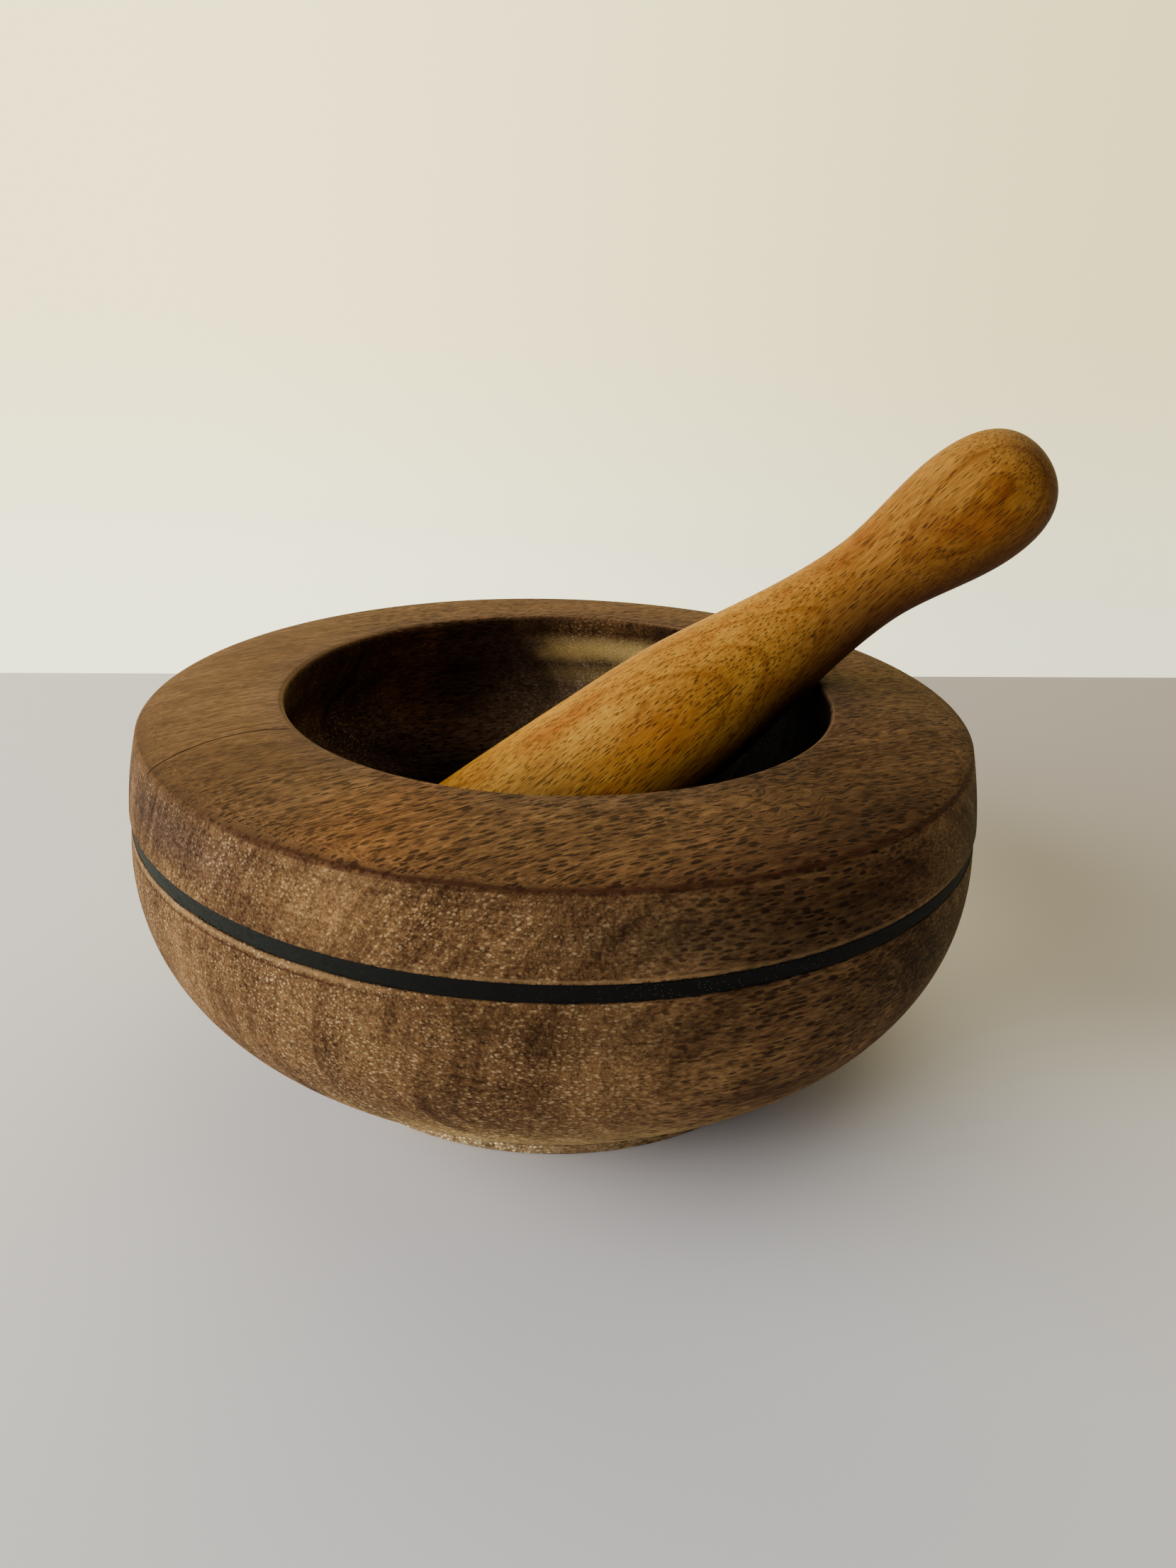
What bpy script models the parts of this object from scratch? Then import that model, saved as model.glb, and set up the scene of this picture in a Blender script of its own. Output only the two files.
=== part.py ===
# Turned wooden mortar with an inlaid band and a loose wooden pestle leaning in it.
# Metres, +Z up. The origin is the centre of the foot's underside; -Y is the front.
import math

import bpy
from mathutils import Matrix, Vector

MM = 0.001

# mortar: outside
BAND_RADIUS = 90.0 * MM
FOOT_RADIUS = 59.7 * MM
FOOT_HEIGHT = 2.3 * MM
FOOT_EDGE = 0.4 * MM
STEP_RADIUS = 59.2 * MM
STEP_HEIGHT = 2.6 * MM
UNDERSIDE_PULL = (17.3 * MM, 14.4 * MM)
FLANK_PULL = (3.6 * MM, 29.1 * MM)
BAND_BOTTOM = 55.8 * MM
BAND_TOP = 59.2 * MM
BAND_BOTTOM_RADIUS = 89.9 * MM
ARRIS_RADIUS = 87.2 * MM
ARRIS_HEIGHT = 73.8 * MM
WALL_BULGE = 0.25 * MM

# mortar: rim and hollow
RIM_HEIGHT = 77.2 * MM
MOUTH_RADIUS = 58.2 * MM
LIP_ROUND = 1.4 * MM
RIM_PULL = 12.3 * MM
ARRIS_PULL = (1.5 * MM, 2.2 * MM)
HOLLOW_RADIUS = 66.5 * MM
HOLLOW_WIDEST = 54.0 * MM
FLOOR_HEIGHT = 13.0 * MM
UNDERCUT_PULL = 8.0 * MM

# inlaid band
GROOVE_DEPTH = 1.6 * MM
GAP = 0.3 * MM
BAND_CROWN = 0.1 * MM

# pestle, measured from the grinding end
HEAD_AT = 21.0 * MM
HEAD_RADIUS = 18.5 * MM
BELLY_AT = 59.1 * MM
BELLY_RADIUS = 17.5 * MM
BELLY_TAPER = -0.045
SHOULDER_AT = 87.1 * MM
SHOULDER_RADIUS = 15.65 * MM
SHOULDER_TAPER = -0.145
NECK_AT = 129.1 * MM
NECK_RADIUS = 10.3 * MM
KNOB_AT = 158.9 * MM
KNOB_RADIUS = 14.2 * MM
KNOB_PULL = (8.9 * MM, 12.5 * MM)
PESTLE_LENGTH = 176.3 * MM

# how the pestle leans at rest
LEAN_ELEVATION = math.radians(35.34)
LEAN_AZIMUTH = math.radians(11.11)
AXIS_AT_MOUTH = (37.25 * MM, 6.60 * MM)
TIP_BELOW_MOUTH = 92.42 * MM

MORTAR_STEPS = 96
PESTLE_STEPS = 48

WALNUT = ((0.155, 0.072, 0.032), 0.62, 0.0)
BEECH = ((0.48, 0.235, 0.072), 0.50, 0.0)
BLACK_INLAY = ((0.012, 0.013, 0.013), 0.72, 0.0)


def bezier(start, pull_out, pull_in, end, count):
    """Points of a cubic curve after its start, up to and with its end."""
    points = []
    for i in range(1, count + 1):
        t = i / count
        s = 1.0 - t
        weights = (s ** 3, 3 * s * s * t, 3 * s * t * t, t ** 3)
        corners = (start, pull_out, pull_in, end)
        r = sum(w * c[0] for w, c in zip(weights, corners))
        z = sum(w * c[1] for w, c in zip(weights, corners))
        points.append((r, z))
    return points


def ellipse_quarter(centre, r_axis, z_axis, start_deg, end_deg, count):
    """Points along an upright ellipse after its start angle, up to and with its end."""
    points = []
    for i in range(1, count + 1):
        angle = math.radians(start_deg + (end_deg - start_deg) * i / count)
        points.append((centre[0] + r_axis * math.cos(angle), centre[1] + z_axis * math.sin(angle)))
    return points


def mortar_profile():
    """Half section of the mortar, from the hollow's floor over the rim to the foot."""
    widest = (HOLLOW_RADIUS, HOLLOW_WIDEST)
    lip_centre = (MOUTH_RADIUS + LIP_ROUND, RIM_HEIGHT - LIP_ROUND)
    mouth = (MOUTH_RADIUS, lip_centre[1])
    crest = (lip_centre[0], RIM_HEIGHT)
    arris = (ARRIS_RADIUS, ARRIS_HEIGHT)
    band_top = (BAND_RADIUS, BAND_TOP)
    band_bottom = (BAND_BOTTOM_RADIUS, BAND_BOTTOM)
    groove_radius = BAND_RADIUS - GROOVE_DEPTH
    step = (STEP_RADIUS, STEP_HEIGHT)

    points = [(0.0, FLOOR_HEIGHT)]
    points += ellipse_quarter((0.0, HOLLOW_WIDEST), HOLLOW_RADIUS,
                              HOLLOW_WIDEST - FLOOR_HEIGHT, -90.0, 0.0, 12)
    points += bezier(widest, (HOLLOW_RADIUS, HOLLOW_WIDEST + UNDERCUT_PULL),
                     (MOUTH_RADIUS + 0.1 * UNDERCUT_PULL, mouth[1] - UNDERCUT_PULL), mouth, 6)
    points += ellipse_quarter(lip_centre, LIP_ROUND, LIP_ROUND, 180.0, 90.0, 3)
    points += bezier(crest, (crest[0] + RIM_PULL, crest[1] - 0.02 * RIM_PULL),
                     (arris[0] - ARRIS_PULL[0], arris[1] + ARRIS_PULL[1]), arris, 8)
    wall_middle = ((arris[0] + band_top[0]) / 2 + WALL_BULGE, (arris[1] + band_top[1]) / 2)
    points += [wall_middle, band_top]
    points += [(groove_radius, BAND_TOP), (groove_radius, BAND_BOTTOM), band_bottom]
    points += bezier(band_bottom,
                     (band_bottom[0] + FLANK_PULL[0], band_bottom[1] - FLANK_PULL[1]),
                     (step[0] + UNDERSIDE_PULL[0], step[1] + UNDERSIDE_PULL[1]), step, 14)
    points += [(FOOT_RADIUS, FOOT_HEIGHT), (FOOT_RADIUS, FOOT_EDGE),
               (FOOT_RADIUS - FOOT_EDGE, 0.0), (0.0, 0.0)]
    return points


def band_profile():
    """Section of the inlaid band, standing GAP clear of its groove."""
    inside = BAND_RADIUS - GROOVE_DEPTH + GAP
    top = BAND_TOP - GAP
    bottom = BAND_BOTTOM + GAP
    middle = (BAND_TOP + BAND_BOTTOM) / 2
    return [(inside, top), (BAND_RADIUS - BAND_CROWN, top), (BAND_RADIUS, middle),
            (BAND_BOTTOM_RADIUS - BAND_CROWN, bottom), (inside, bottom)]


def hermite(start, start_slope, end, end_slope, count):
    """Points after start on the curve radius(height) that keeps the slope at both ends."""
    points = []
    rise = end[1] - start[1]
    for i in range(1, count + 1):
        t = i / count
        radius = ((2 * t ** 3 - 3 * t * t + 1) * start[0]
                  + (t ** 3 - 2 * t * t + t) * rise * start_slope
                  + (3 * t * t - 2 * t ** 3) * end[0]
                  + (t ** 3 - t * t) * rise * end_slope)
        points.append((radius, start[1] + rise * t))
    return points


def pestle_profile():
    """Half section of the pestle from the knob's pole down to the grinding end's pole."""
    knob = (KNOB_RADIUS, KNOB_AT)
    neck = (NECK_RADIUS, NECK_AT)
    shoulder = (SHOULDER_RADIUS, SHOULDER_AT)
    belly = (BELLY_RADIUS, BELLY_AT)
    head = (HEAD_RADIUS, HEAD_AT)
    points = [(0.0, PESTLE_LENGTH)]
    points += bezier(points[-1], (KNOB_PULL[0], PESTLE_LENGTH), (KNOB_RADIUS, KNOB_AT + KNOB_PULL[1]), knob, 8)
    points += hermite(knob, 0.0, neck, 0.0, 7)
    points += hermite(neck, 0.0, shoulder, SHOULDER_TAPER, 7)
    points += hermite(shoulder, SHOULDER_TAPER, belly, BELLY_TAPER, 4)
    points += hermite(belly, BELLY_TAPER, head, 0.0, 4)
    points += ellipse_quarter((0.0, HEAD_AT), HEAD_RADIUS, HEAD_AT, 0.0, -90.0, 9)
    return points


def make_material(name, colour, roughness, metallic):
    material = bpy.data.materials.new(name)
    material.use_nodes = True
    shader = material.node_tree.nodes["Principled BSDF"]
    shader.inputs["Base Color"].default_value = (*colour, 1.0)
    shader.inputs["Roughness"].default_value = roughness
    shader.inputs["Metallic"].default_value = metallic
    material.diffuse_color = (*colour, 1.0)
    return material


def make_turned(name, profile, steps, finish, collection, ring=False):
    """A solid of revolution about the object's own Z; a ring's section closes on itself."""
    mesh = bpy.data.meshes.new(name)
    vertices = [(r, 0.0, z) for r, z in profile]
    edges = [(i, i + 1) for i in range(len(vertices) - 1)]
    if ring:
        edges.append((len(vertices) - 1, 0))
    mesh.from_pydata(vertices, edges, [])
    turned = bpy.data.objects.new(name, mesh)
    collection.objects.link(turned)
    screw = turned.modifiers.new("turn", "SCREW")
    screw.axis = "Z"
    screw.angle = 2.0 * math.pi
    screw.steps = steps
    screw.render_steps = steps
    screw.use_merge_vertices = True
    screw.merge_threshold = 0.00002
    screw.use_smooth_shade = True
    mesh.materials.append(make_material(name, *finish))
    return turned


def lean_pestle(pestle):
    """Stand the pestle on its grinding end in the hollow and lean it on the mouth's edge."""
    level = math.cos(LEAN_ELEVATION)
    axis = Vector((level * math.cos(LEAN_AZIMUTH), level * math.sin(LEAN_AZIMUTH),
                   math.sin(LEAN_ELEVATION)))
    crossing = Vector((*AXIS_AT_MOUTH, RIM_HEIGHT))
    tip = crossing - axis * TIP_BELOW_MOUTH
    side = Vector((0.0, 0.0, 1.0)).cross(axis).normalized()
    over = axis.cross(side)
    turn = Matrix((side, over, axis)).transposed().to_4x4()
    pestle.matrix_world = Matrix.Translation(tip) @ turn


def build():
    for old in list(bpy.data.objects):
        bpy.data.objects.remove(old, do_unlink=True)
    collection = bpy.data.collections.new("mortar_and_pestle")
    bpy.context.scene.collection.children.link(collection)
    make_turned("mortar", mortar_profile(), MORTAR_STEPS, WALNUT, collection)
    make_turned("inlaid_band", band_profile(), MORTAR_STEPS, BLACK_INLAY, collection, ring=True)
    pestle = make_turned("pestle", pestle_profile(), PESTLE_STEPS, BEECH, collection)
    lean_pestle(pestle)


build()
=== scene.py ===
import math

import bpy
import numpy as np
from mathutils import Matrix, Vector


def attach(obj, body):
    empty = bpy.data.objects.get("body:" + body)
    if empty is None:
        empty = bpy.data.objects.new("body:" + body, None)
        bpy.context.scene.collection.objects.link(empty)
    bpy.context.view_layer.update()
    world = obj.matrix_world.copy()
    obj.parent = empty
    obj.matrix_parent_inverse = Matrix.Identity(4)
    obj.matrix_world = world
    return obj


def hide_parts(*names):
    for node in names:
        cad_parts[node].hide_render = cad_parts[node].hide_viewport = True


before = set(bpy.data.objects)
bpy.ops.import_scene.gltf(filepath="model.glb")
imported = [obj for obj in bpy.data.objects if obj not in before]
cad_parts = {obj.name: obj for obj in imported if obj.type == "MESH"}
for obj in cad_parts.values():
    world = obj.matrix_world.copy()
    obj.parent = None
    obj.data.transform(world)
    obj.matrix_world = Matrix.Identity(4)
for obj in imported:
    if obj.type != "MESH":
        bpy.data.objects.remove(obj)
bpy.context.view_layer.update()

mm = 0.001
print("frame loaded:", sorted(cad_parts))

# the pieces' lengths are in millimetres until a mesh takes them; the studio's are in metres


class Wire:
    # one output socket; arithmetic on wires adds Math nodes

    def __init__(self, tree, socket):
        self.tree = tree
        self.socket = socket

    def add(self, kind, settings=None, values=None, out=0):
        # any node: settings first, then socket values or links, then the wanted output
        node = self.tree.nodes.new(kind)
        for key, value in (settings or {}).items():
            if key == "stops":
                ramp = node.color_ramp
                while len(ramp.elements) < len(value):
                    ramp.elements.new(0.5)
                for element, (place, colour) in zip(ramp.elements, value):
                    element.position = place
                    element.color = colour if len(colour) == 4 else (*colour, 1.0)
            else:
                setattr(node, key, value)
        for key, value in (values or {}).items():
            if isinstance(value, Wire):
                self.tree.links.new(value.socket, node.inputs[key])
            else:
                node.inputs[key].default_value = value
        return Wire(self.tree, node.outputs[out])

    def math(self, operation, first, second=None):
        # one Math node
        values = {0: first}
        if second is not None:
            values[1] = second
        return self.add("ShaderNodeMath", {"operation": operation}, values)

    def __add__(self, other):
        return self.math("ADD", self, other)

    def __radd__(self, other):
        return self.math("ADD", other, self)

    def __sub__(self, other):
        return self.math("SUBTRACT", self, other)

    def __rsub__(self, other):
        return self.math("SUBTRACT", other, self)

    def __mul__(self, other):
        return self.math("MULTIPLY", self, other)

    def __rmul__(self, other):
        return self.math("MULTIPLY", other, self)

    def __truediv__(self, other):
        return self.math("DIVIDE", self, other)

    def __rtruediv__(self, other):
        return self.math("DIVIDE", other, self)

    def __abs__(self):
        return self.math("ABSOLUTE", self)

    def root(self):
        return self.math("SQRT", self)

    def least(self, other):
        return self.math("MINIMUM", self, other)

    def most(self, other):
        return self.math("MAXIMUM", self, other)

    def step(self, low, high):
        # 0 below low, 1 above high, smooth between; low may be the greater
        flip = low > high
        values = {"Value": self, "From Min": min(low, high), "From Max": max(low, high),
                  "To Min": 1.0 if flip else 0.0, "To Max": 0.0 if flip else 1.0}
        return self.add("ShaderNodeMapRange", {"interpolation_type": "SMOOTHSTEP"}, values)

    def bell(self, centre, width):
        # 1 at centre, falling to 0 a width away
        return (abs(self - centre)).step(width, 0.0)

    def angle(self, x):
        # degrees of atan2(self, x)
        return self.math("ARCTAN2", self, x) * (180 / math.pi)

    def dot(self, direction):
        # length of this vector along a fixed direction
        return self.add("ShaderNodeVectorMath", {"operation": "DOT_PRODUCT"},
                        {0: self, 1: tuple(float(v) for v in direction)}, out="Value")

    def tint(self, colour, gain):
        # colour multiplied by gain, as far as this wire says
        return self.blend(colour, (*gain, 1.0), "MULTIPLY")

    def blend(self, first, second, how="MIX"):
        # first colour turned into the second as this wire goes from 0 to 1
        return self.add("ShaderNodeMix", {"data_type": "RGBA", "blend_type": how, "clamp_factor": True},
                        {0: self, 6: first, 7: second}, out=2)

    def vector(self, operation, first, second=None, scale=None):
        # one Vector Math node
        values = {0: first}
        if second is not None:
            values[1] = second
        if scale is not None:
            values["Scale"] = scale
        return self.add("ShaderNodeVectorMath", {"operation": operation}, values)

    def join(self, x, y, z):
        # vector from three numbers
        return self.add("ShaderNodeCombineXYZ", None, {0: x, 1: y, 2: z})

    def split(self):
        # the vector's x, y and z
        node = self.add("ShaderNodeSeparateXYZ", None, {0: self}).socket.node
        return [Wire(self.tree, node.outputs[i]) for i in range(3)]

    def noise(self, detail=2.0, rough=0.5):
        # soft noise about 0 on this vector
        cloud = self.add("ShaderNodeTexNoise", {"noise_dimensions": "3D"},
                         {"Vector": self, "Scale": 1.0, "Detail": detail, "Roughness": rough})
        return cloud - 0.5

    def cells(self):
        # distance to the nearest of many scattered points, about one to each unit cube
        return self.add("ShaderNodeTexVoronoi", {"voronoi_dimensions": "3D"},
                        {"Vector": self, "Scale": 1.0, "Randomness": 1.0}, out="Distance")


def startMaterial(name):
    # empty material with one shader, and Object coordinates in millimetres
    material = bpy.data.materials.new(name)
    material.use_nodes = True
    tree = material.node_tree
    tree.nodes.clear()
    output = tree.nodes.new("ShaderNodeOutputMaterial")
    shader = tree.nodes.new("ShaderNodeBsdfPrincipled")
    tree.links.new(shader.outputs[0], output.inputs[0])
    place = tree.nodes.new("ShaderNodeTexCoord")
    here = Wire(tree, place.outputs["Object"])
    return material, shader, here.vector("SCALE", here, scale=1 / mm)


def finishShader(shader, values):
    # links wires to the shader's sockets and sets constants on them
    for key, value in values.items():
        if isinstance(value, Wire):
            value.tree.links.new(value.socket, shader.inputs[key])
        else:
            shader.inputs[key].default_value = value


def bezier(start, pullOut, pullIn, end, count, first=False):
    # cubic curve: corners weighted by (1-t)^3, 3t(1-t)^2, 3t^2(1-t), t^3
    t = np.linspace(0, 1, count + 1)[0 if first else 1:, None]
    corners = [np.array(p, float) for p in (start, pullOut, pullIn, end)]
    return (corners[0] * (1 - t) ** 3 + corners[1] * 3 * t * (1 - t) ** 2
            + corners[2] * 3 * t * t * (1 - t) + corners[3] * t ** 3)


def arc(centre, radii, startDeg, endDeg, count):
    # ellipse arc: centre + radii * (cos, sin) of an angle that runs evenly
    a = np.radians(np.linspace(startDeg, endDeg, count + 1)[1:])
    return np.stack([centre[0] + radii[0] * np.cos(a), centre[1] + radii[1] * np.sin(a)], 1)


def line(start, end, count):
    # straight run: start * (1-t) + end * t
    t = np.linspace(0, 1, count + 1)[1:, None]
    return np.array(start, float) * (1 - t) + np.array(end, float) * t


def addMesh(name, points, poles):
    # rows x columns grid closed round its columns; each pole closes one end with a fan,
    # and without poles the last row joins the first, as in a ring
    rows, columns = points.shape[:2]
    index = np.arange(rows * columns).reshape(rows, columns)
    across = np.roll(index, -1, 1)
    quads = np.stack([index[:-1], index[1:], across[1:], across[:-1]], -1).reshape(-1, 4)
    vertices = points.reshape(-1, 3)
    corners, counts = [quads.ravel()], [np.full(len(quads), 4)]
    if poles is None:
        quads = np.stack([index[-1], index[0], across[0], across[-1]], -1)
        corners.append(quads.ravel())
        counts.append(np.full(len(quads), 4))
    else:
        top, bottom = len(vertices), len(vertices) + 1
        vertices = np.vstack([vertices, poles])
        fans = [np.stack([np.full(columns, top), index[0], across[0]], -1),
                np.stack([index[-1], np.full(columns, bottom), across[-1]], -1)]
        for fan in fans:
            corners.append(fan.ravel())
            counts.append(np.full(columns, 3))
    corners, counts = np.concatenate(corners), np.concatenate(counts)
    mesh = bpy.data.meshes.new(name)
    mesh.vertices.add(len(vertices))
    mesh.vertices.foreach_set("co", (vertices * mm).astype(np.float32).ravel())
    mesh.loops.add(len(corners))
    mesh.loops.foreach_set("vertex_index", corners.astype(np.int32))
    mesh.polygons.add(len(counts))
    mesh.polygons.foreach_set("loop_start", (np.cumsum(counts) - counts).astype(np.int32))
    mesh.polygons.foreach_set("use_smooth", np.ones(len(counts), bool))
    mesh.update(calc_edges=True)
    mesh.validate()
    piece = bpy.data.objects.new(name, mesh)
    bpy.context.scene.collection.objects.link(piece)
    return piece, vertices


def giveAttribute(piece, name, values):
    # one number for each vertex, for the material to read
    held = piece.data.attributes.new(name, "FLOAT", "POINT")
    held.data.foreach_set("value", np.asarray(values, np.float32))


mortarShape = {
    "bandRadius": 90.0, "bandBottomRadius": 89.9, "bandTop": 59.2, "bandBottom": 55.8,
    "grooveDepth": 1.2, "grooveEdge": 0.18,
    "arris": (87.2, 73.8), "wallBulge": 0.25,
    "vLineBelow": 0.65, "vLineHalfWidth": 0.40, "vLineDepth": 0.36,       # turned V line under the arris
    "vLineAt": -45.0, "vLineSpread": 55.0,                                # degrees
    "rimHeight": 77.2, "rimPull": 12.3, "mouthRadius": 58.2, "lipRound": 1.4,
    "hollowRadius": 66.5, "hollowWidest": 54.0, "undercutPull": 8.0, "floorHeight": 13.0,
    "undersidePull": (17.3, 14.4), "flankPull": (3.6, 29.1),
    "footRadius": 59.7, "footHeight": 2.3, "footEdge": 0.5, "stepRadius": 59.2, "stepHeight": 2.6,
    "grainAzimuth": 29.0, "grainRise": -1.5,                              # degrees
    "wobble": 0.22, "columns": 480,
}


def mortarProfile(s):
    # half section as radius and height: hollow, undercut, lip, rim, arris, wall, groove, flank, foot
    rim, mouth, lip = s["rimHeight"], s["mouthRadius"], s["lipRound"]
    arrisR, arrisZ = s["arris"]
    edge, deep = s["grooveEdge"], s["bandRadius"] - s["grooveDepth"]
    top, bottom = s["bandTop"], s["bandBottom"]
    lowR, step = s["bandBottomRadius"], (s["stepRadius"], s["stepHeight"])
    hollowR, hollowZ = s["hollowRadius"], s["hollowWidest"]
    lipR, lipZ = mouth + lip, rim - lip
    parts = [
        arc((0, hollowZ), (hollowR, hollowZ - s["floorHeight"]), -90, 0, 40),
        bezier((hollowR, hollowZ), (hollowR, hollowZ + s["undercutPull"]),
               (mouth + 0.8, lipZ - s["undercutPull"]), (mouth, lipZ), 16),
        arc((lipR, lipZ), (lip, lip), 180, 90, 8),
    ]
    rimEnd = (arrisR - 0.05, arrisZ + 0.12)
    parts.append(bezier((lipR, rim), (lipR + s["rimPull"], rim - 0.25),
                        (arrisR - 1.5, arrisZ + 2.2), rimEnd, 30))
    wallTop = (arrisR + 0.06, arrisZ - 0.10)
    parts.append(bezier(rimEnd, (arrisR + 0.02, arrisZ + 0.06), (arrisR + 0.05, arrisZ), wallTop, 3))
    # wall, with a slight belly: a straight run plus bulge * 4t(1-t), its rows close together at the V line
    closeEnd = arrisZ - 1.6
    z = np.concatenate([np.linspace(wallTop[1], closeEnd, 15)[1:],
                        np.linspace(closeEnd, top + edge, 14)[1:]])
    t = (wallTop[1] - z) / (wallTop[1] - top)
    wall = wallTop[0] + (s["bandRadius"] - wallTop[0]) * t + s["wallBulge"] * 4 * t * (1 - t)
    parts.append(np.stack([wall, z], 1))
    # groove for the band, with eased edges
    soft = 0.03
    parts.append(bezier((wall[-1], z[-1]), (wall[-1], top + soft), (s["bandRadius"] - soft, top),
                        (s["bandRadius"] - edge, top), 4))
    parts.append(line((s["bandRadius"] - edge, top), (deep, top), 2))
    parts.append(line((deep, top), (deep, bottom), 3))
    parts.append(line((deep, bottom), (lowR - edge, bottom), 2))
    parts.append(bezier((lowR - edge, bottom), (lowR - soft, bottom), (lowR, bottom - soft),
                        (lowR + 0.02, bottom - edge), 4))
    # flank down to the foot's step, then the foot
    (flankR, flankZ), (underR, underZ) = s["flankPull"], s["undersidePull"]
    parts.append(bezier((lowR, bottom), (lowR + flankR, bottom - flankZ),
                        (step[0] + underR, step[1] + underZ), step, 46))
    foot, footZ, footEdge = s["footRadius"], s["footHeight"], s["footEdge"]
    parts.append(bezier(step, (step[0] - 0.1, step[1] - 0.15), (foot - 0.2, footZ), (foot, footZ - 0.25), 4))
    parts.append(line((foot, footZ - 0.25), (foot, footEdge), 3))
    parts.append(arc((foot - footEdge, footEdge), (footEdge, footEdge), 0, -90, 4))
    parts.append(line((foot - footEdge, 0.0), (3.0, 0.0), 8))
    return np.vstack(parts)


def makeMortar(s):
    # point = profile radius, shifted by a few slow waves in angle and height, turned round +Z
    profile = mortarProfile(s)
    phi = np.linspace(0, 2 * math.pi, s["columns"], endpoint=False)[None, :]
    radius, height = profile[:, :1] + 0 * phi, profile[:, 1:] + 0 * phi
    wave = (np.sin(2 * phi + 0.6) + 0.55 * np.sin(3 * phi + 2.1 + height / 30)
            + 0.3 * np.sin(5 * phi + height / 17) + 0.18 * np.sin(9 * phi + 1.3 + height / 9))
    awayFromFoot = np.clip((height - 3) / 12, 0, 1)
    bandMiddle = (s["bandTop"] + s["bandBottom"]) / 2
    awayFromBand = np.clip(np.abs(height - bandMiddle) / 9, 0.25, 1)
    radius = radius + s["wobble"] * 0.5 * wave * awayFromFoot * awayFromBand * (radius > 30)
    # the turned V line under the arris, deepest at the front right
    turn = np.degrees(np.angle(np.exp(1j * (phi - math.radians(s["vLineAt"])))))
    depth = s["vLineDepth"] * np.clip(1.4 - np.abs(turn) / s["vLineSpread"], 0, 1)
    across = np.abs(height - (s["arris"][1] - s["vLineBelow"])) / s["vLineHalfWidth"]
    radius = radius - np.where((radius > 80) & (across < 1), depth * (1 - across), 0)
    points = np.stack([radius * np.cos(phi), radius * np.sin(phi), height], -1)
    poles = np.array([[0, 0, s["floorHeight"]], [0, 0, 0.0]])
    piece, vertices = addMesh("turnedMortar", points, poles)
    # how squarely the surface cuts the grain: |normal . grain|
    grain = np.radians(s["grainAzimuth"])
    slope = np.gradient(profile, axis=0)
    slope /= np.linalg.norm(slope, axis=1)[:, None] + 1e-9
    outward = -slope[:, 1:] + 0 * phi
    facing = np.abs(outward * np.cos(phi - grain))
    giveAttribute(piece, "endGrain", np.concatenate([facing.ravel(), [0, 0]]))
    # 1 on the profile's rows inside the mouth, 0 outside, fading over the lip
    row = np.arange(len(profile))[:, None] + 0 * phi
    lipRow, lipFade = 60, 4          # the row halfway round the lip, and the rows the fade takes
    inside = np.clip((lipRow - row) / lipFade, 0, 1)
    giveAttribute(piece, "hollow", np.concatenate([inside.ravel(), [1, 0]]))
    return piece


mortar = makeMortar(mortarShape)
print("mortar mesh:", len(mortar.data.polygons), "faces")


bandShape = {"sunk": 0.12, "side": 0.03, "columns": 480}


def makeBand(s, m):
    # ring section with a face that dips and rises a little round the wall
    phi = np.linspace(0, 2 * math.pi, s["columns"], endpoint=False)[None, :]
    top, bottom = m["bandTop"] - s["side"], m["bandBottom"] + s["side"]
    back = m["bandRadius"] - m["grooveDepth"] + 0.05
    z = np.linspace(top - 0.12, bottom + 0.12, 9)
    face = np.interp(z, [m["bandBottom"], m["bandTop"]], [m["bandBottomRadius"], m["bandRadius"]])
    face = face - s["sunk"]
    section = np.vstack([[(back, top), (face[0] - 0.12, top)], np.stack([face, z], 1),
                         [(face[-1] - 0.12, bottom), (back, bottom)]])
    radius, height = section[:, :1] + 0 * phi, section[:, 1:] + 0 * phi
    dip = (0.05 * np.sin(7 * phi + 1) + 0.04 * np.sin(17 * phi + height)
           + 0.03 * np.sin(41 * phi + 2 * height))
    radius = radius + np.where(radius > back + 0.2, dip, 0)
    points = np.stack([radius * np.cos(phi), radius * np.sin(phi), height], -1)
    return addMesh("blackBand", points, None)[0]


band = makeBand(bandShape, mortarShape)


pestleShape = {
    "head": (18.5, 21.0), "belly": (17.5, 59.1, -0.045), "shoulder": (15.65, 87.1, -0.145),
    "neck": (10.3, 129.1), "knob": (14.2, 158.9), "knobPull": (8.9, 12.5), "length": 176.3,
    "wobble": 0.12, "columns": 288,
}


def hermite(start, startSlope, end, endSlope, count):
    # radius as a cubic of height that keeps the slope at both ends
    t = np.linspace(0, 1, count + 1)[1:]
    rise = end[1] - start[1]
    radius = ((2 * t ** 3 - 3 * t * t + 1) * start[0] + (t ** 3 - 2 * t * t + t) * rise * startSlope
              + (3 * t * t - 2 * t ** 3) * end[0] + (t ** 3 - t * t) * rise * endSlope)
    return np.stack([radius, start[1] + rise * t], 1)


def pestleProfile(s):
    # half section, from the knob's end down: knob, neck, swelling body, rounded grinding head
    knob, neck, shoulder, belly, head = s["knob"], s["neck"], s["shoulder"], s["belly"], s["head"]
    pullR, pullZ = s["knobPull"]
    return np.vstack([
        bezier((0, s["length"]), (pullR, s["length"]), (knob[0], knob[1] + pullZ), knob, 48),
        hermite(knob, 0, neck, 0, 60),
        hermite(neck, 0, shoulder, shoulder[2], 60),
        hermite(shoulder, shoulder[2], belly, belly[2], 36),
        hermite(belly, belly[2], head, 0, 44),
        arc((0, head[1]), (head[0], head[1]), 0, -90, 48)[:-1]])


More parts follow.
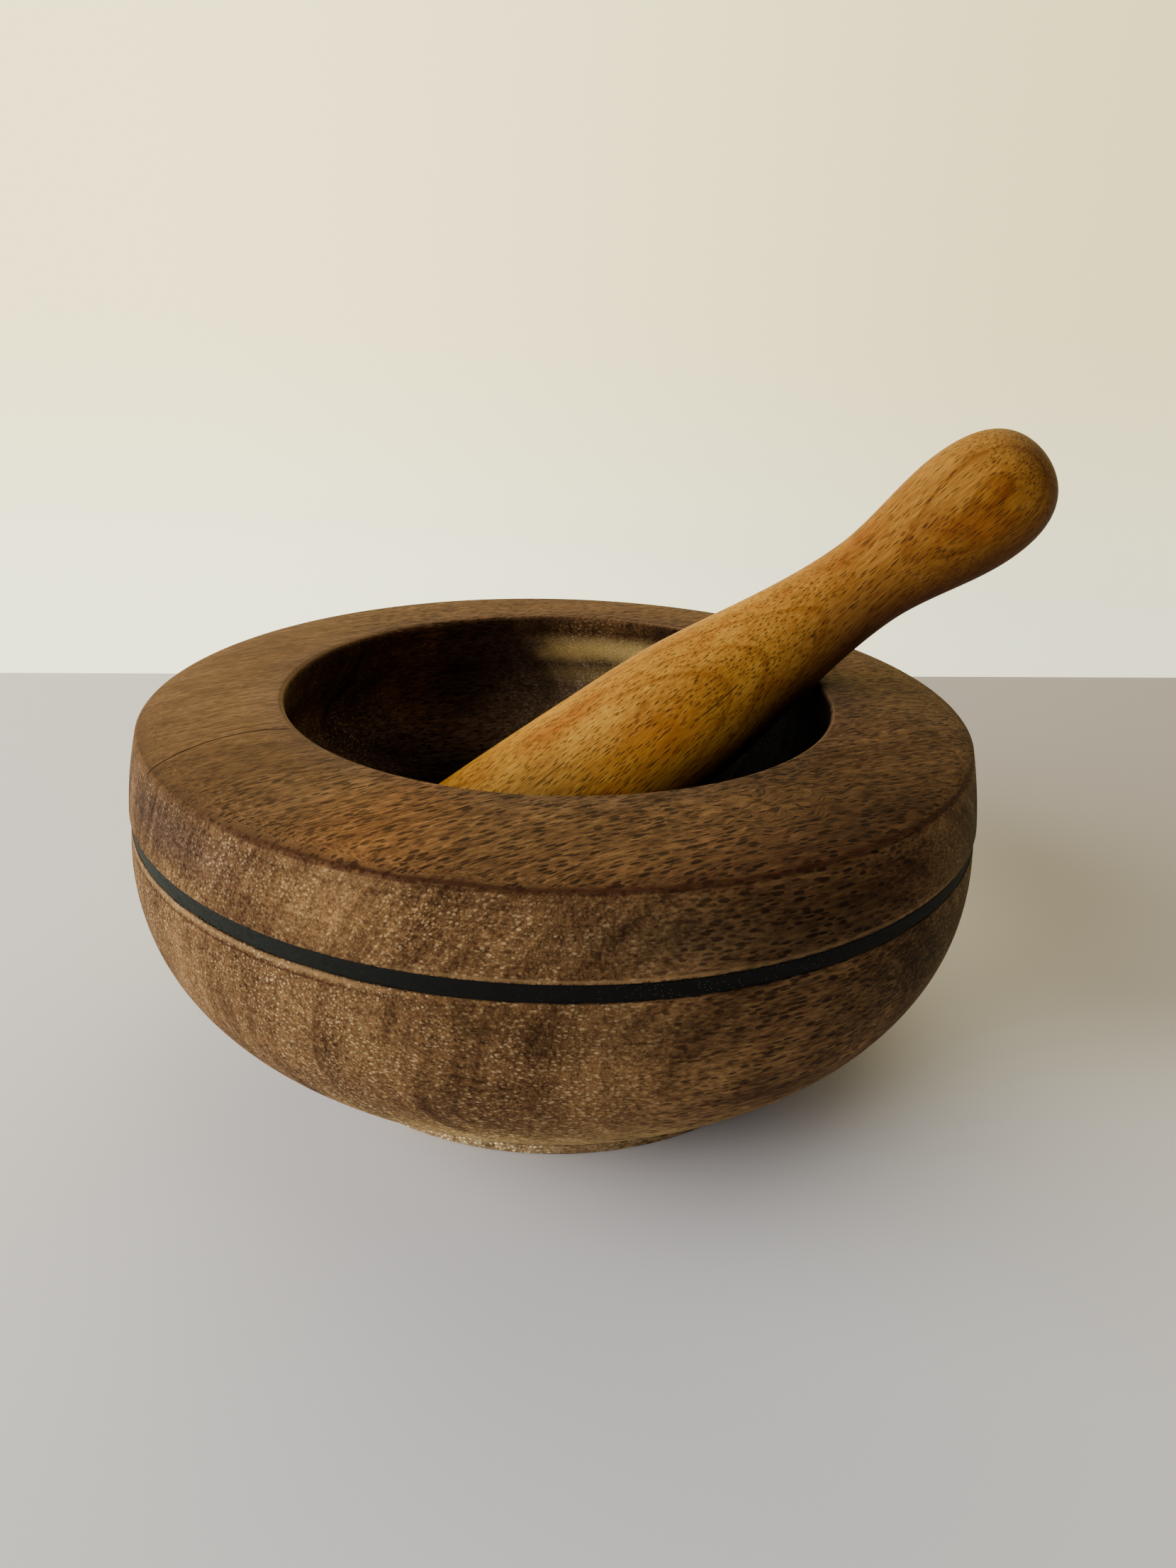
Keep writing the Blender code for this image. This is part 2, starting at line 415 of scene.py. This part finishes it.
def pestleFrame():
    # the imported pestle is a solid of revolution, so its long principal direction is its axis
    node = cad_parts["pestle"]
    co = np.zeros(len(node.data.vertices) * 3, np.float32)
    node.data.vertices.foreach_get("co", co)
    co = co.reshape(-1, 3).astype(float) * 1000
    middle = (co.min(0) + co.max(0)) / 2
    axis = np.linalg.svd(co - co.mean(0), full_matrices=False)[2][0]
    axis = axis * np.sign(axis[2])
    along = co @ axis
    tip, top = co[along.argmin()], co[along.argmax()]
    axis = (top - tip) / np.linalg.norm(top - tip)
    side = np.cross([0, 0, 1.0], axis)
    side /= np.linalg.norm(side)
    return tip, axis, side, np.cross(axis, side)


pestleTip, pestleAxis, pestleSide, pestleOver = pestleFrame()


def makePestle(s):
    # point = tip + height * axis + radius * (cos * side + sin * over)
    profile = pestleProfile(s)
    phi = np.linspace(0, 2 * math.pi, s["columns"], endpoint=False)[None, :]
    radius, height = profile[:, :1] + 0 * phi, profile[:, 1:] + 0 * phi
    wave = (np.sin(2 * phi + height / 40) + 0.5 * np.sin(3 * phi + 1.7 - height / 23)
            + 0.25 * np.sin(7 * phi + height / 11))
    radius = radius * (1 + s["wobble"] * 0.5 * wave / 16 * np.clip(radius / 6, 0, 1))
    outward = np.cos(phi)[..., None] * pestleSide + np.sin(phi)[..., None] * pestleOver
    points = pestleTip + height[..., None] * pestleAxis + radius[..., None] * outward
    poles = np.array([pestleTip + pestleAxis * s["length"], pestleTip])
    return addMesh("turnedPestle", points, poles)[0]


pestle = makePestle(pestleShape)
print("pestle mesh:", len(pestle.data.polygons), "faces")


brownWood = {
    "light": (0.255, 0.136, 0.053), "middle": (0.122, 0.061, 0.023), "dark": (0.038, 0.015, 0.005),
    "speck": (0.500, 0.350, 0.170), "pore": (0.014, 0.005, 0.002), "fibre": (0.420, 0.300, 0.160),
    "tan": (0.430, 0.270, 0.115), "redLine": (0.045, 0.013, 0.005), "bleed": (0.010, 0.010, 0.009),
    # the olive colour below paints a pool of light inside the hollow
    "paintedLightPatch": (0.700, 0.500, 0.165), "roughness": 0.80, "specular": 0.08,
}
# each mark: turn and its reach in degrees, height and its reach in mm,
# and what the colour is multiplied by there; the darkening marks on the wall's front right and right
# (turns -84 to -15, heights 46 to 67) are painted shade, and the brightening marks low on the front
# (turn -68 at height 38, turn -90 at heights 16 and 2) are painted light, at the foot over its own paler
# colour
woodMarksAndPaintedLight = [
    (-143, 26, 68, 8, (0.60, 0.61, 0.85)), (-112, 15, 76, 3.2, (1.32, 1.12, 0.88)),
    (-78, 16, 66, 8, (0.85, 0.93, 1.02)), (-52, 34, 67, 9, (0.56, 0.47, 0.40)),
    (-15, 36, 62, 16, (0.36, 0.50, 0.42)), (-96, 14, 52, 5, (0.80, 0.77, 0.72)),
    (-32, 42, 46, 15, (0.53, 0.59, 0.56)), (-90, 60, 16, 14, (2.7, 3.3, 3.0)),
    (-90, 90, 2, 7, (2.8, 3.6, 4.4)), (-45, 26, 76.5, 3.5, (0.70, 0.70, 0.68)),
    (-90, 30, 76, 3.5, (1.08, 1.06, 1.0)), (-68, 26, 38, 12, (1.35, 1.40, 1.36)),
    (90, 75, 76, 3.5, (1.0, 0.93, 0.95)), (165, 45, 75, 5, (1.28, 1.28, 1.36)),
    (-172, 34, 75, 5, (1.22, 1.24, 1.32)), (-60, 46, 75.0, 2.8, (0.52, 0.45, 0.45)),
    (-112, 24, 67, 7, (1.38, 1.40, 1.34)), (-62, 24, 64, 10, (0.52, 0.54, 0.58)),
    (-84, 32, 50, 8, (0.78, 0.79, 0.80)), (-50, 34, 75.6, 2.4, (0.78, 0.74, 0.74)),
]


def paintBrownWood(c, s, marksAndPaintedLight):
    # tone = upright growth streaks + fine grit + broad patches; cut across the grain it gains pale dots,
    # cut along it gains dark dashes; marks then multiply the colour at their turn and height, some of them
    # painted shade or painted light
    material, shader, here = startMaterial("brownWood")
    x, y, z = here.split()
    rho = (x * x + y * y).root()
    turn = y.angle(x)
    endGrain = here.add("ShaderNodeAttribute", {"attribute_name": "endGrain"}, None, out="Fac")
    hollow = here.add("ShaderNodeAttribute", {"attribute_name": "hollow"}, None, out="Fac")
    end = endGrain.step(0.10, 0.55)
    top = z.step(72.9, 73.9) * (1.0 - hollow)
    lean = (0.0, math.radians(s["grainRise"]), math.radians(-s["grainAzimuth"]))
    leant = here.add("ShaderNodeMapping", {"vector_type": "POINT"}, {"Vector": here, "Rotation": lean})
    a, b, h = leant.split()          # a runs along the grain, b across it, h up
    # the grain wanders slowly, and curls at the front right of the rim
    wander = here.join(a / 60.0, b / 18.0, h / 26.0).noise()
    curlHere = turn.bell(-56.0, 24.0) * rho.bell(71.0, 15.0) * top
    curl = here.vector("SCALE", here, scale=1 / 7.0).noise()
    bb = b + wander * 7.0 + curl * curlHere * 9.0
    aa = a + curl * curlHere * 7.0
    broad = here.vector("SCALE", here, scale=1 / 30.0).noise(2.5, 0.55)
    patch = here.vector("SCALE", here, scale=1 / 9.0).noise(3.0, 0.6)
    ringRadius = ((bb + 210.0) * (bb + 210.0) + (h - 20.0) * (h - 20.0)).root()
    streak = here.join(ringRadius / 1.9, aa / 45.0, h / 30.0).noise(4.0, 0.65)
    streakWide = here.join(ringRadius / 8.0, aa / 80.0, h / 60.0 + 4.0).noise()
    # grit: stretched along the grain where the surface runs along it
    stretch = 1.0 + (1.0 - end) * 2.6
    grit = here.join(aa / (stretch * 0.85), bb / 0.55, h / 0.55).noise(2.0, 0.7)
    gritWide = here.join(aa / (stretch * 1.6), bb / 1.2, h / 1.2 + 9.0).noise(2.0, 0.6)
    slow = streak * 0.95 + streakWide * 0.6 + broad * 0.7 + patch * 0.5
    # fine level lines left by turning, on the walls
    turned = here.join(turn / 50.0, rho / 20.0, z / 0.55).noise(3.0, 0.7)
    calm = 1.0 - (turn.step(130.0, 150.0).most(turn.step(-125.0, -150.0))) * top * 0.5
    tone = 0.5 + slow * (1.0 - top * 0.45) + (grit * 1.35 + gritWide * 0.8) * calm
    tone = tone + turned * (1.0 - top) * 0.5
    stops = [(0.10, c["dark"]), (0.5, c["middle"]), (0.95, c["light"])]
    colour = tone.add("ShaderNodeValToRGB", {"stops": stops}, {0: tone})
    # vessels: pale dots on end grain, thicker in some streaks; dark dashes on the long grain
    dots = here.join(aa / 2.2, bb / 0.74, h / 0.80).cells().step(0.36, 0.22)
    dotsSmall = here.join(aa / 1.8 + 31.0, bb / 0.46, h / 0.56).cells().step(0.36, 0.18)
    crowd = (streak * 2.4 + patch * 1.6 + 0.50 - z.step(56.0, 62.0) * 0.20).least(1.0).most(0.10)
    pale = (dots.most(dotsSmall * 0.65)) * end * crowd * (1.0 - top)
    colour = (pale * 0.95).blend(colour, (*c["speck"], 1.0))
    dashes = here.join(aa / 3.2, bb / 0.72, h / 0.72).cells().step(0.38, 0.24)
    front = turn.bell(-80.0, 60.0).step(0.0, 0.6)
    strokes = here.join(aa / 4.6 + 11.0, bb / 1.5, h / 1.5).cells().step(0.30, 0.20)
    strokes = strokes * (front * 0.6 + 0.4)
    along = 1.0 - end * (1.0 - top)
    thick = (dashes * (0.72 + patch * 1.0)).most(strokes * 0.8) * along * calm
    colour = thick.blend(colour, (*c["pore"], 1.0))
    # loose pale fibres near the mouth
    hair = here.join(aa / 3.0 + 5.0, bb / 0.30 + curl * 6.0, h / 0.5).cells().step(0.16, 0.06)
    colour = (hair * top * rho.step(84.0, 64.0) * 0.55).blend(colour, (*c["fibre"], 1.0))
    # some of these are painted shade on the wall's right, and some painted light low on the front and at the
    # foot
    for turnAt, turnReach, heightAt, heightReach, gain in marksAndPaintedLight:
        place = turn.bell(turnAt, turnReach) * z.bell(heightAt, heightReach) * (1.0 - hollow)
        colour = place.tint(colour, gain)
    # grey-brown, worn ring beside the mouth, and the pale lip edge
    colour = (rho.step(68.0, 60.0) * top * 0.6).tint(colour, (0.79, 0.83, 1.16))
    colour = (rho.bell(58.9, 0.5) * z.bell(76.6, 0.7) * 0.45).blend(colour, (*c["tan"], 1.0))
    # dark red line on the arris, from the front round to the right
    frontRight = turn.bell(-78.0, 75.0).step(0.0, 0.45)
    arrisLine = rho.bell(87.0 + patch * 1.0, 0.65) * z.step(73.0, 73.5) * frontRight
    colour = (arrisLine * 0.75).blend(colour, (*c["redLine"], 1.0))
    # pale strip under the band on the left with a red line below it; a hair of tan above the band
    # at the front and right
    leftSide = turn.bell(-145.0, 50.0).step(0.0, 0.35)
    edgeNoise = patch * 0.5 + grit * 0.35
    colour = ((z + edgeNoise).bell(55.1, 0.90) * leftSide * 0.38).blend(colour, (*c["tan"], 1.0))
    colour = ((z + patch * 0.4).bell(54.0, 0.38) * leftSide * 0.75).blend(colour, (*c["redLine"], 1.0))
    tanHair = (z + edgeNoise).bell(59.7, 0.55) * turn.bell(-70.0, 50.0).step(0.0, 0.4)
    colour = (tanHair * 0.28).blend(colour, (*c["tan"], 1.0))
    # the black bleeds into the pores just outside the band
    bleed = (z + grit * 1.5 + patch * 0.5).bell(57.5, 2.0).step(0.02, 0.10) * (1.0 - hollow)
    colour = bleed.blend(colour, (*c["bleed"], 1.0))
    # hairline crack across the left of the rim, a parabola in x and y, with a faint line on each side
    u = x + 50.2
    crackLine = y + 30.8 + u * 0.1595 + u * u * 0.0346 + wander * 1.2 + curl * 0.5
    crack = crackLine.bell(0.0, 0.62) * x.step(-50.0, -53.0) * top * y.step(-20.0, -24.0)
    otherSide = (crackLine + 2.6 + patch).bell(0.0, 0.4)
    nearby = (crackLine - 3.4 + patch * 1.5).bell(0.0, 0.5).most(otherSide) * top
    colour = (nearby * x.step(-50.0, -60.0) * y.step(-14.0, -24.0) * 0.35).blend(colour, (*c["dark"], 1.0))
    colour = (crack * (0.75 + patch)).blend(colour, (*c["pore"], 1.0))
    # inside: painted shade under the lip, on the left, over the right half where the pestle's shadow falls,
    # low down and at the back left, with a cooler, greyer colour painted below the lip as the shade's hue;
    # and one painted pool of light, a pale olive patch high at the back
    # painted shade just under the lip
    colour = (z.step(70.0, 73.0) * hollow * 0.8).tint(colour, (0.45, 0.42, 0.38))
    # painted shade on the left of the inside wall
    leftInsideShade = turn.step(125.0, 150.0).most(turn.step(-150.0, -170.0)) * z.step(56.0, 66.0) * hollow
    colour = leftInsideShade.tint(colour, (0.50, 0.48, 0.50))
    # cooler, greyer colour below the lip, painted as the hue of the shade there
    colour = (z.step(73.0, 69.0) * hollow).tint(colour, (1.0, 1.20, 1.7))
    # painted shadow, near black, over the right half where the pestle's shadow falls, and low down
    shade = (turn.bell(5.0, 78.0).step(0.0, 0.30)).most(z.step(50.0, 28.0)) * hollow
    colour = shade.tint(colour, (0.035, 0.04, 0.05))
    # painted shade at the back left of the inside
    backLeftShade = turn.bell(106.0, 24.0).step(0.0, 0.7) * hollow * z.step(44.0, 56.0)
    colour = backLeftShade.tint(colour, (0.42, 0.42, 0.46))
    # painted pool of light: a pale olive patch high at the back, and a fainter one below it
    paintedLightPatch = (turn + patch * 16.0).bell(78.0, 25.0).step(0.0, 0.6)
    paintedLightPatch = paintedLightPatch * (z + patch * 3.0).bell(67.2, 5.6) * hollow
    paintedLightLow = (turn + patch * 16.0).bell(80.0, 16.0) * (z + patch * 4.0).bell(59.0, 5.0) * hollow * 0.35
    colour = (paintedLightPatch.most(paintedLightLow) * (0.9 + grit)).blend(colour, (*c["paintedLightPatch"], 1.0))
    height = grit * 0.8 + gritWide * 0.4 - thick * 0.8 - dots * end * 0.3 - crack * 2.0
    bump = height.add("ShaderNodeBump", None, {"Strength": 0.7, "Distance": 0.00022, "Height": height})
    rough = c["roughness"] + hollow * 0.2
    finishShader(shader, {"Base Color": colour, "Roughness": rough, "Normal": bump,
                          "Specular IOR Level": c["specular"]})
    material.diffuse_color = (*c["middle"], 1.0)
    return material


mortar.data.materials.append(paintBrownWood(brownWood, mortarShape, woodMarksAndPaintedLight))


blackBand = {
    "black": (0.0045, 0.0045, 0.0040), "wornAndSheen": (0.030, 0.036, 0.028), "fleck": (0.150, 0.140, 0.100),
    "roughness": 0.75, "specular": 0.10,
}


def paintBlackBand(c):
    # black; greener and greyer round to the left, partly worn paint and partly a painted sheen on the side
    # the light falls on, with fine pale flecks of the wood showing through
    material, shader, here = startMaterial("blackInlay")
    x, y, z = here.split()
    turn = y.angle(x)
    left = turn.bell(-165.0, 75.0)
    fibre = here.join(x / 1.2, y / 1.2, z / 0.30).noise(3.0, 0.65)
    # worn paint and painted sheen round to the left
    colour = (left * (fibre * 2.6 + 0.7)).blend((*c["black"], 1.0), (*c["wornAndSheen"], 1.0))
    fleck = here.join(x / 0.8, y / 0.8, z / 0.5).cells().step(0.20, 0.08)
    share = fleck * (left * 0.40 + turn.bell(-72.0, 30.0) * 0.55)
    colour = share.blend(colour, (*c["fleck"], 1.0))
    bump = fibre.add("ShaderNodeBump", None, {"Strength": 0.6, "Distance": 0.0002, "Height": fibre})
    finishShader(shader, {"Base Color": colour, "Roughness": c["roughness"], "Normal": bump,
                          "Specular IOR Level": c["specular"]})
    return material


band.data.materials.append(paintBlackBand(blackBand))


goldenWood = {
    "light": (0.560, 0.295, 0.044), "middle": (0.390, 0.172, 0.021), "dark": (0.215, 0.076, 0.010),
    "red": (0.84, 0.62, 0.55), "fleck": (0.040, 0.012, 0.003), "line": (0.60, 0.44, 0.36),
    "fleckLean": 0.12, "layerTurn": 66.0, "layerTilt": 0.10, "neckAt": 125.0,
    "roughness": 0.60, "specular": 0.08,
}
# growth lines: layer level, its width, and the height band in mm where it shows
growthLines = [(-0.45, 0.24, 60, 128), (3.35, 0.28, 50, 128), (5.95, 0.28, 50, 128),
               (-1.35, 0.28, 130, 180), (1.40, 0.14, 150, 172)]
# short dark cracks: turn and height where each starts and ends
pestleCracks = [(76.0, 82.4, 73.0, 92.6), (48.0, 45.1, 46.0, 53.3)]


def paintGoldenWood(c, lines, cracks):
    # tone = patches + fine fibre; thin darker lines follow a few growth layers, nearly flat sheets
    # that face the front and sink toward the neck; short dark flecks lie along the fibre
    material, shader, here = startMaterial("goldenWood")
    moved = here.vector("SUBTRACT", here, tuple(float(v) for v in pestleTip))
    x, across, z = moved.dot(-pestleSide), moved.dot(pestleOver), moved.dot(pestleAxis)
    y = across - (z - 90.0) * c["fleckLean"]
    turn = x.angle(across)
    wander = here.join(x / 12.0, y / 12.0, z / 50.0).noise()
    patch = here.join(x / 7.0, y / 7.0, z / 20.0).noise(3.0, 0.6)
    fibre = here.join(x / 0.45, y / 0.45, z / 6.5).noise(3.0, 0.65)
    tone = 0.52 + patch * 0.9 + fibre * 1.5
    stops = [(0.1, c["dark"]), (0.5, c["middle"]), (0.9, c["light"])]
    colour = tone.add("ShaderNodeValToRGB", {"stops": stops}, {0: tone})
    facing = math.radians(c["layerTurn"])
    layer = (across * math.cos(facing) + x * math.sin(facing) - z.least(c["neckAt"]) * c["layerTilt"]
             + wander * 1.3 + patch * 0.5)
    for level, width, low, high in lines:
        edge = (layer - level).step(-width, 0.0) * (layer - level).step(width * 3.0, 0.0)
        colour = (edge * z.step(low, low + 6.0) * z.step(high, high - 6.0) * 0.60).tint(colour, c["line"])
    eye = (z - 160.5).bell(0.0, 5.0) * (turn - 66.0).bell(0.0, 18.0)
    redHere = here.join(x / 11.0 + 3.0, y / 11.0, z / 26.0).noise().step(0.04, 0.20)
    low = z.bell(74.0, 16.0) * turn.bell(72.0, 34.0)
    colour = (redHere.most(low).most(eye) * 0.85).tint(colour, c["red"])
    # duller toward the knob, grey at its far end, painted shade along the underside and on the neck's lower
    # side, and a dull green-brown hem low on the front
    colour = z.step(100.0, 125.0).tint(colour, (0.85, 0.80, 0.90))
    colour = z.step(128.0, 150.0).tint(colour, (0.90, 0.91, 0.92))
    colour = z.step(164.0, 175.0).tint(colour, (0.62, 0.64, 1.0))
    # painted shade along the pestle's underside
    paintedShadeUnder = turn.step(84.0, 138.0).most(turn.step(-110.0, -145.0))
    colour = (paintedShadeUnder * z.step(40.0, 60.0)).tint(colour, (0.37, 0.30, 0.42))
    colour = (turn.step(22.0, -8.0) * turn.step(-95.0, -60.0)).tint(colour, (1.02, 0.97, 0.58))
    # painted shade on the neck's lower side
    colour = (z.bell(122.0, 36.0) * turn.step(35.0, 80.0)).tint(colour, (0.68, 0.64, 0.82))
    hem = ((z + patch * 8.0).step(62.0, 40.0) * turn.step(22.0, 60.0)).most(z.step(30.0, 10.0))
    colour = (hem * 0.8).tint(colour, (0.55, 0.62, 0.80))
    flecks = here.join(x / 0.46, y / 0.46, z / 4.6).cells().step(0.30, 0.19)
    fleckMore = here.join(x / 0.56 + 7.0, y / 0.56 + 3.0, z / 6.0 + 1.5).cells().step(0.25, 0.16)
    fleck = flecks.most(fleckMore)
    for turnA, heightA, turnB, heightB in cracks:
        slant = (turnB - turnA) / (heightB - heightA)
        split = (turn - turnA - (z - heightA) * slant + fibre * 1.5).bell(0.0, 1.1)
        split = split * z.step(heightA - 0.8, heightA + 1.0) * z.step(heightB + 0.8, heightB - 1.0)
        fleck = fleck.most(split)
    colour = (fleck * 0.80).blend(colour, (*c["fleck"], 1.0))
    height = fibre * 0.3 - fleck
    bump = height.add("ShaderNodeBump", None, {"Strength": 0.5, "Distance": 0.00015, "Height": height})
    finishShader(shader, {"Base Color": colour, "Roughness": c["roughness"], "Normal": bump,
                          "Specular IOR Level": c["specular"]})
    material.diffuse_color = (*c["middle"], 1.0)
    return material


pestle.data.materials.append(paintGoldenWood(goldenWood, growthLines, pestleCracks))
print("materials painted")

for piece, body, node, slotName in ((mortar, "mortar_body", "mortar", "brown_wood"),
                                    (band, "mortar_body", "inlaid_band", "black_inlay"),
                                    (pestle, "pestle_body", "pestle", "golden_wood")):
    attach(piece, body)
    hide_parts(node)


studio = {
    # the floor's second colour is painted shade toward the front, its third a painted shadow to the right
    "floor": (0.80, 0.79, 0.81), "floorNearShade": (0.66, 0.67, 0.74), "floorRightShadow": (0.60, 0.565, 0.555),
    "farEdge": ((-0.237, 0.2297), (0.2858, 0.2662)), "floorReach": 1.4,
    "backdropAt": 1.15, "backdropReach": 1.9,
    "backdropLow": (1.00, 0.97, 0.66), "backdropHigh": (1.00, 0.87, 0.44),
    "backdropGlow": 3.0, "backdropRight": 0.62,
    "fill": (0.9, 0.95, 1.0), "fillStrength": 0.08, "pale": (1.0, 0.93, 0.66), "paleStrength": 2.4,
    "keyAzimuth": -156.0, "keyElevation": 25.0, "keyDistance": 1.15, "keyHeight": 0.05,
    "keySize": (1.3, 0.75), "keyPower": 22.5, "keyColour": (1.0, 0.985, 0.97),
    "topPower": 3.2, "topSize": 1.1, "topPlace": (0.25, 0.15, 1.2), "topColour": (1.0, 0.93, 0.80),
}


def makeFloor(s):
    # a flat sheet; its far edge runs through two stated points, in metres, and the rest reaches forward
    (x0, y0), (x1, y1) = s["farEdge"]
    slope, reach = (y1 - y0) / (x1 - x0), s["floorReach"]
    mesh = bpy.data.meshes.new("floor")
    corners = [(-reach, -reach, 0), (reach, -reach, 0), (reach, y1 + slope * (reach - x1), 0),
               (-reach, y0 - slope * (reach + x0), 0)]
    mesh.from_pydata(corners, [], [(0, 1, 2, 3)])
    floor = bpy.data.objects.new("floor", mesh)
    bpy.context.scene.collection.objects.link(floor)
    material, shader, here = startMaterial("paleFloor")
    x, y, z = here.split()
    # painted shade: darker and bluer toward the front; painted shadow: darker to the right of the pieces
    colour = y.step(0.0, -420.0).tint((*s["floor"], 1.0), s["floorNearShade"])
    colour = (x.step(60.0, 150.0) * y.step(-60.0, 10.0)).tint(colour, s["floorRightShadow"])
    finishShader(shader, {"Base Color": colour, "Roughness": 0.9, "Specular IOR Level": 0.1})
    mesh.materials.append(material)


def makeBackdrop(s):
    # a plain wall that glows softly, a little dimmer to the right and warmer higher up
    at, reach = s["backdropAt"], s["backdropReach"]
    mesh = bpy.data.meshes.new("backdrop")
    corners = [(-reach, at, -reach), (reach, at, -reach), (reach, at, reach), (-reach, at, reach)]
    mesh.from_pydata(corners, [], [(0, 1, 2, 3)])
    wall = bpy.data.objects.new("backdrop", mesh)
    bpy.context.scene.collection.objects.link(wall)
    material, shader, here = startMaterial("glowingWall")
    x, y, z = here.split()
    tint = z.step(-250.0, 150.0).blend((*s["backdropLow"], 1.0), (*s["backdropHigh"], 1.0))
    side = x.step(-500.0, 700.0) * (s["backdropRight"] - 1.0) + 1.0
    tint = side.blend((0.0, 0.0, 0.0, 1.0), tint)
    finishShader(shader, {"Base Color": (0.0, 0.0, 0.0, 1.0), "Specular IOR Level": 0.0,
                          "Emission Color": tint, "Emission Strength": s["backdropGlow"]})
    mesh.materials.append(material)


def makeWorld(s):
    # a weak cool fill lights the pieces; past the wall's edge a pale colour close to the wall's shows
    world = bpy.data.worlds.new("studio")
    bpy.context.scene.world = world
    world.use_nodes = True
    tree = world.node_tree
    tree.nodes.clear()
    seen = Wire(tree, tree.nodes.new("ShaderNodeLightPath").outputs["Is Camera Ray"])
    fill = seen.add("ShaderNodeBackground", None, {0: (*s["fill"], 1.0), 1: s["fillStrength"]})
    pale = seen.add("ShaderNodeBackground", None, {0: (*s["pale"], 1.0), 1: s["paleStrength"]})
    both = seen.add("ShaderNodeMixShader", None, {0: seen, 1: fill, 2: pale})
    tree.links.new(both.socket, tree.nodes.new("ShaderNodeOutputWorld").inputs[0])


def makeLights(s):
    # a wide window low at the left, a little in front
    azimuth, elevation = math.radians(s["keyAzimuth"]), math.radians(s["keyElevation"])
    level = math.cos(elevation)
    towards = Vector((math.cos(azimuth) * level, math.sin(azimuth) * level, math.sin(elevation)))
    light = bpy.data.lights.new("window", "AREA")
    light.shape = "RECTANGLE"
    light.size, light.size_y = s["keySize"]
    light.energy = s["keyPower"]
    light.color = s["keyColour"]
    lamp = bpy.data.objects.new("window", light)
    lamp.location = towards * s["keyDistance"] + Vector((0, 0, s["keyHeight"]))
    lamp.rotation_mode = "QUATERNION"
    lamp.rotation_quaternion = towards.to_track_quat("Z", "Y")
    bpy.context.scene.collection.objects.link(lamp)
    # a weak, wide panel overhead keeps the floor's shadow open
    light = bpy.data.lights.new("ceiling", "AREA")
    light.shape = "DISK"
    light.size = s["topSize"]
    light.energy = s["topPower"]
    light.color = s["topColour"]
    lamp = bpy.data.objects.new("ceiling", light)
    lamp.location = s["topPlace"]
    bpy.context.scene.collection.objects.link(lamp)


# metres back from the object's centre and up from the floor, turns in radians, lens in mm
cameraPlace = {
    "back": 0.2381616, "up": 0.156591, "yaw": 0.0287, "pitch": 0.4066, "roll": 0.0346, "lens": 26.328,
}


def makeCamera(s):
    # looks along +Y, turned right by yaw and down by pitch, then rolled about the view
    data = bpy.data.cameras.new("camera")
    data.lens = s["lens"]
    data.sensor_width = 36.0
    data.sensor_fit = "AUTO"
    data.clip_start = 0.01
    data.clip_end = 20.0
    camera = bpy.data.objects.new("camera", data)
    cy, sy = math.cos(s["yaw"]), math.sin(s["yaw"])
    cp, sp = math.cos(s["pitch"]), math.sin(s["pitch"])
    cr, sr = math.cos(s["roll"]), math.sin(s["roll"])
    forward = Vector((cp * sy, cp * cy, -sp))
    right, up = Vector((cy, -sy, 0)), Vector((sp * sy, sp * cy, cp))
    right, up = right * cr + up * sr, up * cr - right * sr
    aim = Matrix((right, up, -forward)).transposed().to_4x4()
    camera.matrix_world = Matrix.Translation((0, -s["back"], s["up"])) @ aim
    bpy.context.scene.collection.objects.link(camera)
    bpy.context.scene.camera = camera


makeFloor(studio)
makeBackdrop(studio)
makeWorld(studio)
makeLights(studio)
makeCamera(cameraPlace)
print("studio set up")
